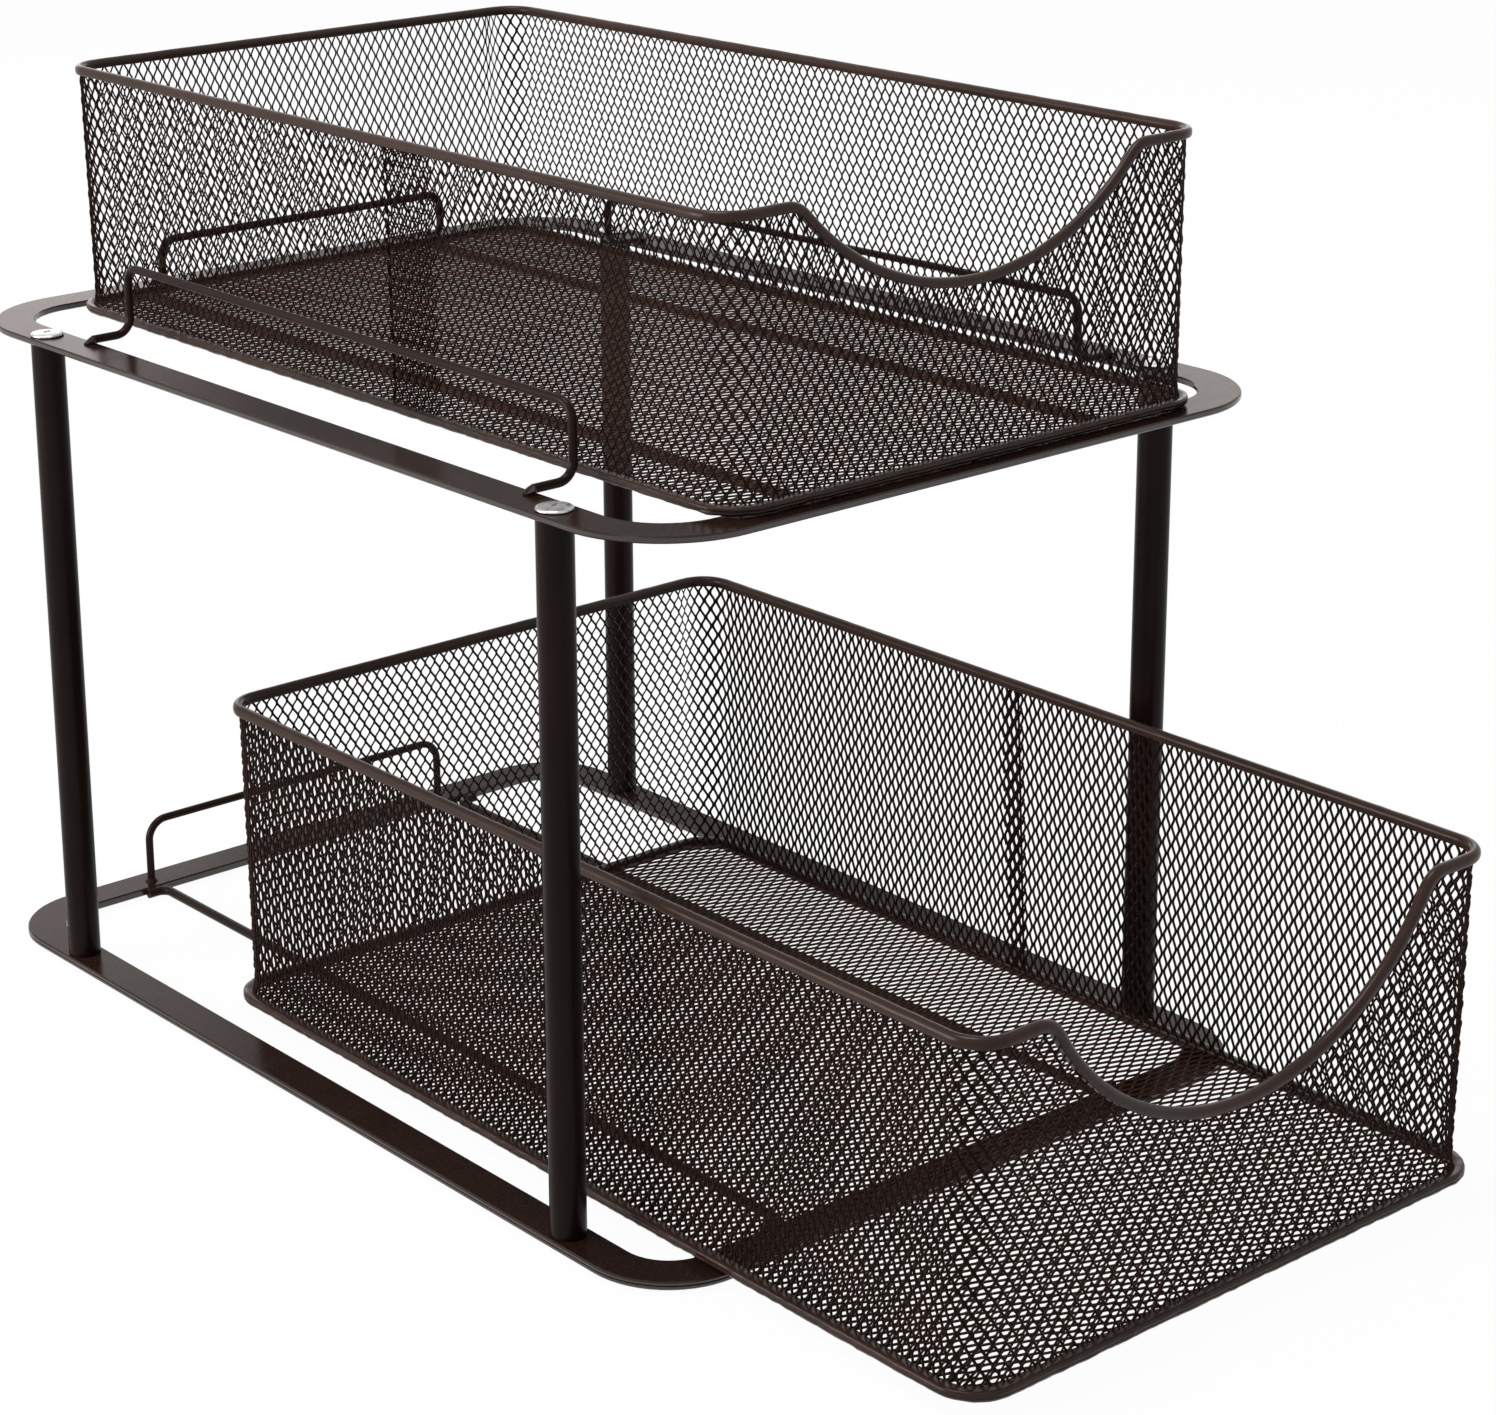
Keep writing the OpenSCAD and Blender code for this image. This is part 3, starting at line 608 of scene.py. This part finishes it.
def screws_tree():
    """Low domed heads, turned from half a section, each with a pressed cross recess."""
    tree, given = new_tree("screw_heads", {
        "Float": ["Radius", "Height", "Recess length", "Recess width", "Recess depth",
                  "Pitch X", "Pitch Y", "Down"],
        "Vector": ["Place"], "Material": ["Plating"]})
    # The half section is the carried curve; one turn of a small circle carries it round.
    turn = add(tree, "GeometryNodeCurvePrimitiveCircle", Resolution=48,
               Radius=add(tree, MATH, "MULTIPLY", given["Radius"], 0.5))
    upright = add(tree, "GeometryNodeSetCurveNormal", {"mode": "Z_UP"}, Curve=turn)
    head = add(tree, "GeometryNodeCurveToMesh", Curve=upright, Profile_Curve=given["Geometry"])
    joined = add(tree, "GeometryNodeMergeByDistance", Geometry=head, Distance=WELD)
    bars = add(tree, "GeometryNodeJoinGeometry")
    long, wide = given["Recess length"], given["Recess width"]
    deep = add(tree, MATH, "MULTIPLY", given["Recess depth"], 2.0)
    for size in ((long, wide, deep), (wide, long, deep)):
        bar = add(tree, "GeometryNodeMeshCube", Size=add(tree, JOIN_XYZ, None, *size))
        high = add(tree, "GeometryNodeTransform", Geometry=bar,
                   Translation=add(tree, JOIN_XYZ, Z=given["Height"]),
                   Rotation=(0.0, 0.0, RECESS_TURN))
        feed(tree, bars, high)
    cut = add(tree, "GeometryNodeMeshBoolean", {"operation": "DIFFERENCE", "solver": "EXACT"},
              joined, bars, Self_Intersection=True)
    places = add(tree, "GeometryNodeMeshGrid", Size_X=given["Pitch X"], Size_Y=given["Pitch Y"],
                 Vertices_X=2, Vertices_Y=2)
    tipped = add(tree, "FunctionNodeEulerToRotation", None, add(tree, JOIN_XYZ, X=given["Down"]))
    spread = add(tree, "GeometryNodeInstanceOnPoints", Points=places, Instance=cut,
                 Rotation=tipped)
    real = add(tree, "GeometryNodeRealizeInstances", None, spread)
    placed = add(tree, "GeometryNodeTransform", Geometry=real, Translation=given["Place"])
    return end_tree(tree, placed, given["Plating"])


WALL_TREE = wall_tree()
FLOOR_TREE = floor_tree()
SWEPT_TREE = swept_tree()
SCREWS_TREE = screws_tree()


# ---------------------------------------------------------------------------
# Baskets
# ---------------------------------------------------------------------------
def outline_length(points):
    """Length of a closed outline."""
    return sum(math.dist(a, b) for a, b in zip(points, points[1:] + points[:1]))


def length_to(points, target):
    """Distance along a closed outline to its point nearest the target."""
    best, so_far, found = math.inf, 0.0, 0.0
    for a, b in zip(points, points[1:] + points[:1]):
        step = math.dist(a, b)
        if step < DOUBLED:
            continue
        t = ((target[0] - a[0]) * (b[0] - a[0]) + (target[1] - a[1]) * (b[1] - a[1])) / step ** 2
        t = min(1.0, max(0.0, t))
        near = (a[0] + t * (b[0] - a[0]), a[1] + t * (b[1] - a[1]))
        if math.dist(near, target) < best:
            best, found = math.dist(near, target), so_far + t * step
        so_far += step
    return found


def shares(columns, parts):
    """Splits the sheet's columns of knots into parts: (first column, number of columns)."""
    cuts = [2 * (columns * k // parts // 2) for k in range(parts)] + [columns]
    return [(a, b - a) for a, b in zip(cuts, cuts[1:])]


def sheet(name, holder, tree, metal, columns, rows, lengths, others):
    """A part of a sheet of expanded metal, grown on its holder."""
    short, long, wide, thick, tip = metal
    return name, grown(holder, tree, name, lengths | {
        "Across": short, "Along": long, "Strand width": wide, "Strand thickness": thick,
        "Uneven": UNEVEN_MM}, {"Columns": columns, "Rows": rows, "Tip": tip} | others)


def mesh_walls(tag, basket):
    """The wall strip, in three parts, each under the face limit."""
    w, l = foot_size(basket)
    mid = SHEET_T / 2
    short, long = basket["wall_mesh"][:2]
    side, middle, lap = basket["seam"]
    # The strip starts at one edge of its lap and ends at the other, a full turn later.
    start = middle + lap / 2 if side == "left" else middle - lap / 2
    points = rounded_outline(w - 2 * mid, l - 2 * mid, WALL_R - mid, side, start)
    around = outline_length(points)
    foot = basket["wire"] / 2 + SHEET_T / 2
    high = basket["high"] - foot
    columns = int((around + lap) / (short / 2)) + 1
    rows = int(high / (long / 2)) + 3
    deep = basket["scoop"]
    flare = [(r + SHEET_T - f) / 2 - UNDER_RIM for r, f in zip(basket["rim"], (w, l))]
    lengths = {
        "Round": around, "Height": high, "Scoop middle": length_to(points, (0.0, -l / 2 + mid)),
        "Scoop radius": SCOOP_R + EDGE_BACK, "Scoop depth": deep + EDGE_BACK,
        "Lip radius": LIP_R - EDGE_BACK, "Meet": SCOOP_R * math.sin(scoop_angle(deep)),
        "Lip end": lip_x(deep), "Flare X": flare[0], "Flare Y": flare[1],
        "Foot flare": FOOT_FLARE, "Lap": LAP_STEP, "Foot": foot, "Place": basket["at"]}
    out = []
    for part, (first, count) in zip("abc", shares(columns, 3)):
        name = f"{tag}_wall_mesh_{part}"
        out.append(sheet(name, path_object(name, points), WALL_TREE, basket["wall_mesh"], count,
                         rows, lengths | {"First": first * short / 2},
                         {"Lean": basket["lean"], "Coat": COAT_MESH}))
    return out


def mesh_floor(tag, basket):
    """The floor, in a front and a back half."""
    w, l = foot_size(basket)
    short, long = basket["floor_mesh"][:2]
    columns = int(l / (short / 2)) + 3
    rows = int(w / (long / 2)) + 4
    x, y, z = basket["at"]
    lengths = {"Half width": w / 2 + FLOOR_PAST, "Half depth": l / 2 + FLOOR_PAST,
               "Corner": WALL_R + FLOOR_PAST, "Place": (x, y, z + basket["wire"] / 2)}
    out = []
    for part, (first, count) in zip("ab", shares(columns, 2)):
        name = f"{tag}_floor_mesh_{part}"
        start = first * short / 2 - (columns - 1) * short / 4
        # The tree makes its own grid, so its holder is only a short line.
        holder = path_object(name, [(0, 0), (1, 0)], False)
        out.append(sheet(name, holder, FLOOR_TREE, basket["floor_mesh"], count, rows,
                         lengths | {"First": start}, {"Coat": COAT_FLOOR_LIT}))
    return out


def rim_path(basket):
    """The rim's line, anticlockwise from the middle of the back, with the scoop in front."""
    w, l = basket["rim"]
    r = WALL_R - SHEET_T / 2
    deep, high = basket["scoop"], basket["high"]
    x, y = w / 2, l / 2
    left = [(0.0, y), (-x + r, y)] + arc(-x + r, y - r, r, 90, 180, RIM_STEPS)
    left += [(-x, -y + r)] + arc(-x + r, -y + r, r, 180, 270, RIM_STEPS)
    right = [(x - r, -y)] + arc(x - r, -y + r, r, 270, 360, RIM_STEPS)
    right += [(x, y - r)] + arc(x - r, y - r, r, 0, 90, RIM_STEPS)
    # The scoop as it is drawn on the front: sideways, and down from the rim.
    a = scoop_angle(deep)
    turns = [a * k / LIP_STEPS for k in range(LIP_STEPS + 1)]
    lip = [(LIP_R * math.sin(t), LIP_R * (math.cos(t) - 1)) for t in turns]
    scoop = [(-lip_x(deep) + sx, sy) for sx, sy in lip]
    for k in range(1, SCOOP_STEPS):
        t = -a + 2 * a * k / SCOOP_STEPS
        scoop.append((SCOOP_R * math.sin(t), SCOOP_R * (1 - math.cos(t)) - deep))
    scoop += [(lip_x(deep) - sx, sy) for sx, sy in lip[::-1]]
    # The front leans in or out as it rises from its foot to the rim.
    slope = (foot_size(basket)[1] / 2 - y) / (high - basket["wire"] / 2)
    return ([(*p, high) for p in left] + [(sx, -y + sy * slope, high + sy) for sx, sy in scoop]
            + [(*p, high) for p in right])


def channel_path(basket):
    """The outer edge of the channel round the base."""
    w, l = basket["base"]
    return rounded_outline(w, l, WALL_R + basket["channel"], "left", 0.0)


def swept(name, path, section, place, dents):
    """Carries a section, in millimetres, along a path. The section has x inwards and z up;
    along an anticlockwise path a carried curve has x outwards and y down."""
    depth, grain = dents
    profile = path_object(name + "_section", [(-x, -z) for x, z in section])
    mesh = grown(path_object(name, path), SWEPT_TREE, name,
                 {"Place": place, "Step": SWEEP_STEP, "Uneven": depth},
                 {"Section": profile, "Coat": COAT_FOLD_LIT, "Grain": per_metre(grain)})
    bpy.data.objects.remove(profile)
    return mesh


def folded_rim(wire):
    """Section of the folded rim: a round top and two short legs over the mesh."""
    r = wire / 2
    points = [(r * math.cos(math.radians(t)), r * math.sin(math.radians(t)))
              for t in range(0, 181, 15)]
    # The legs' ends, as shares of the radius, with a shallow slit between them.
    leg = [(0.98, -0.5), (0.84, -0.86), (0.5, -0.98)]
    ends = [(-x, z) for x, z in leg] + [(0.0, -0.9)] + leg[::-1]
    return points + [(r * x, r * z) for x, z in ends]


def folded_channel(w, h):
    """Section of the channel round the base, from its outer edge at x = 0 inwards: a round
    fold above, and below it the narrow flange of the sheet's crimped edge, turned under."""
    r = h * CHANNEL_FOLD
    bevel = CHANNEL_BEVEL
    out = [(h * 0.42, 0.0), (w - bevel, 0.0), (w, bevel), (w, h - 0.6), (w - bevel, h)]
    out += [(r + r * math.cos(math.radians(t)), h - r + r * math.sin(math.radians(t)))
            for t in range(90, 225, 15)]
    # The flange, as shares of the height.
    flange = [(0.1, 0.47), (0.012, 0.4), (0.02, 0.33), (0.09, 0.24), (0.15, 0.12), (0.25, 0.07)]
    return out + [(h * x, h * z) for x, z in flange]


def show_basket(tag, basket):
    """All the pieces of a basket. The first part of its wall strip stands for the front and
    the corners, the second for the sides and the third for the back."""
    body = basket["body"]
    shown = (("front", "corners"), ("left", "right"), ("back",))
    for wall, panels in zip(mesh_walls(tag, basket), shown):
        linked(*wall, body, "mesh_coat", *[f"{tag}_mesh_{panel}" for panel in panels])
    first_floor, second_floor = mesh_floor(tag, basket)
    linked(*first_floor, body, "mesh_coat", f"{tag}_mesh_floor")
    linked(*second_floor, body, "mesh_coat")
    rim = swept(f"{tag}_rim", rim_path(basket), folded_rim(basket["wire"]), basket["at"],
                RIM_DENTS)
    linked(f"{tag}_rim", rim, body, "wire_coat", f"{tag}_rim_wire")
    channel = swept(f"{tag}_channel", channel_path(basket),
                    folded_channel(basket["channel"], basket["wire"]), basket["at"],
                    CHANNEL_DENTS)
    linked(f"{tag}_channel", channel, body, "wire_coat", f"{tag}_base_channel")


show_basket("upper", UPPER)
show_basket("lower", LOWER)


# ---------------------------------------------------------------------------
# Screws
# ---------------------------------------------------------------------------
def head_section():
    """Half section of a head, from its crown round to the middle of its underside."""
    half = HEAD_D / 2
    # A bevelled underside, an upright skirt and a small shoulder, then the dome.
    outline = [(0.0, 0.0), (half - 0.35, 0.0), (half, 0.3), (half, 0.55), (half - 0.15, SKIRT_H)]
    outline += [(half * t, SKIRT_H + (HEAD_H - SKIRT_H) * (1 - t * t) ** 0.6)
                for t in (0.94, 0.85, 0.72, 0.58, 0.42, 0.25, 0.1)]
    outline.append((0.0, HEAD_H))
    # The carrying circle has half the head's radius.
    return [(x - half / 2, -z) for x, z in outline][::-1]


def show_heads(tag, z, down):
    """The four heads of a ring, turned over by the angle down."""
    name = f"{tag}_screw_heads"
    mesh = grown(path_object(name, head_section(), False), SCREWS_TREE, name, {
        "Radius": HEAD_D / 2, "Height": HEAD_H, "Recess length": RECESS["long"],
        "Recess width": RECESS["wide"], "Recess depth": RECESS["deep"],
        "Pitch X": POST_PITCH[0], "Pitch Y": POST_PITCH[1], "Place": (0.0, RING_MIDDLE_Y, z)},
        {"Down": down, "Plating": ZINC})
    sharpened(linked(name, mesh, "frame", "zinc", f"{tag}_screws"), 40)


show_heads("top", TOP_RING_TOP, 0.0)
show_heads("base", HEAD_H, math.pi)


# ---------------------------------------------------------------------------
# The right side guard: its rail is pressed down a little, most at the back
# ---------------------------------------------------------------------------
def pressed_guard(solid):
    """A copy of the guard's wire with its rail lowered, and its feet where they were."""
    mesh = solid.data.copy()
    joined = bmesh.new()
    joined.from_mesh(mesh)
    bmesh.ops.remove_doubles(joined, verts=joined.verts, dist=0.001 * MM)
    joined.to_mesh(mesh)
    joined.free()
    front_drop, back_drop = GUARD_DROP
    low, high = TOP_RING_TOP * MM, max(v.co.z for v in mesh.vertices)
    front, end = (pick(v.co.y for v in mesh.vertices) for pick in (min, max))
    for v in mesh.vertices:
        part = (v.co.y - front) / (end - front)
        drop = (front_drop + (back_drop - front_drop) * part) * MM
        v.co.z -= drop * max(0.0, v.co.z - low) / (high - low)
    mesh.materials.clear()
    mesh.materials.append(COAT_WIRE)
    return mesh


right_guard = linked("right_guard_pressed", pressed_guard(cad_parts["guard_top_right"]),
                     "frame", "wire_coat", "guard_top_right")
sharpened(right_guard, 35)


# ---------------------------------------------------------------------------
# Finishes of the solids, by the first of these words in the node's name, or else the wire's
# ---------------------------------------------------------------------------
COATS = {"ring": COAT_STRIP, "insert": ZINC, "screws": ZINC, "post": COAT_TUBE_SHADED,
         "mesh": COAT_MESH}
for name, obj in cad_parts.items():
    coat = next((coat for word, coat in COATS.items() if word in name), COAT_WIRE)
    for slot in obj.material_slots:
        slot.material = coat


# ---------------------------------------------------------------------------
# Stage, light and camera, in metres
# ---------------------------------------------------------------------------
PAPER_SIZE = 14.0
PAPER_GLOW = 0.96            # share of plain white in the paper as it is seen
SOFT_LIGHT = 0.45            # light from all round
LAMP_COLOUR = (1.0, 0.91, 0.88)


def seen_white(tree):
    """1 for rays from the camera, a mirror or glass, which see the backdrop, else 0."""
    ray = add(tree, "ShaderNodeLightPath").outputs
    return add(tree, MATH, "MAXIMUM", ray["Is Camera Ray"], add(
        tree, MATH, "MAXIMUM", ray["Is Glossy Ray"], ray["Is Transmission Ray"]))


def white_paper(name):
    """Matt white paper sweep. It is seen white, and it keeps a soft shadow."""
    mat = bpy.data.materials.new(name)
    mat.use_nodes = True
    tree = mat.node_tree
    tree.nodes.clear()
    matt = add(tree, "ShaderNodeBsdfDiffuse", Color=linear("#fbfbfb"))
    glow = add(tree, "ShaderNodeEmission", Color=(1, 1, 1, 1), Strength=1.0)
    share = add(tree, MATH, "MULTIPLY", seen_white(tree), PAPER_GLOW)
    seen = add(tree, "ShaderNodeMixShader", None, share, matt, glow)
    add(tree, "ShaderNodeOutputMaterial", Surface=seen)
    return mat


def studio(name):
    """A world that lights softly from all round and is seen white."""
    world = bpy.data.worlds.new(name)
    bpy.context.scene.world = world
    world.use_nodes = True
    tree = world.node_tree
    tree.nodes.clear()
    soft = add(tree, "ShaderNodeBackground", Color=(1, 1, 1, 1), Strength=SOFT_LIGHT)
    white = add(tree, "ShaderNodeBackground", Color=(1, 1, 1, 1), Strength=1.0)
    seen = add(tree, "ShaderNodeMixShader", None, seen_white(tree), soft, white)
    add(tree, "ShaderNodeOutputWorld", Surface=seen)


def softbox(name, size, place, aim, watts):
    """A square soft light turned towards a point."""
    data = bpy.data.lights.new(name, "AREA")
    data.shape = "SQUARE"
    data.size = size
    data.energy = watts
    data.color = LAMP_COLOUR
    lamp = bpy.data.objects.new(name, data)
    bpy.context.scene.collection.objects.link(lamp)
    lamp.location = place
    lamp.rotation_euler = (Vector(aim) - Vector(place)).to_track_quat("-Z", "Y").to_euler()


bpy.ops.mesh.primitive_plane_add(size=PAPER_SIZE, location=(0, 0, 0))
ground = bpy.context.object
ground.name = "floor"
ground.data.materials.append(white_paper("white_paper"))
studio("studio")
softbox("overhead", 0.9, (-0.3, 0.2, 2.2), (0, 0, 0.1), 24)
softbox("behind_left", 0.7, (0.75, 2.15, 0.72), (-0.1, 0.2, 0.24), 3.2)
softbox("left", 1.0, (-1.6, 0.7, 0.55), (-0.05, 0.05, 0.15), 26)
softbox("behind_right", 0.6, (1.75, 1.05, 0.78), (0.1, -0.1, 0.24), 2.2)

# Camera: an 86 mm lens, 1.34 m from the middle of the base ring, to its front left and above
# it. The lens is shifted, so its axis meets the frame off the middle.
SENSOR_MM = 36.0
FRAME_PX = (1496.0, 1415.0)
AXIS_PX = (628.9, 535.9)     # from the frame's top left corner
FOCAL_PX = 3589.2
CAMERA_FROM_RING = (-0.7613, -0.9584, 0.5469)
YAW, PITCH, ROLL = math.radians(-39.08), math.radians(16.93), math.radians(-0.76)

back = Vector((math.sin(YAW) * math.cos(PITCH), -math.cos(YAW) * math.cos(PITCH),
               math.sin(PITCH)))
level = Vector((0, 0, 1)).cross(back).normalized()
upright = back.cross(level)
right = math.cos(ROLL) * level + math.sin(ROLL) * upright
up = -math.sin(ROLL) * level + math.cos(ROLL) * upright
x, y, z = CAMERA_FROM_RING
camera = bpy.data.objects.new("camera", bpy.data.cameras.new("camera"))
bpy.context.scene.collection.objects.link(camera)
camera.matrix_world = Matrix((
    (right.x, up.x, back.x, x), (right.y, up.y, back.y, y + RING_MIDDLE_Y * MM),
    (right.z, up.z, back.z, z + HEAD_H * MM), (0, 0, 0, 1)))
camera.data.sensor_width = SENSOR_MM
camera.data.lens = FOCAL_PX / FRAME_PX[0] * SENSOR_MM
camera.data.shift_x = (FRAME_PX[0] / 2 - AXIS_PX[0]) / FRAME_PX[0]
camera.data.shift_y = (AXIS_PX[1] - FRAME_PX[1] / 2) / FRAME_PX[0]
bpy.context.scene.camera = camera

bpy.context.scene.view_settings.view_transform = "Standard"
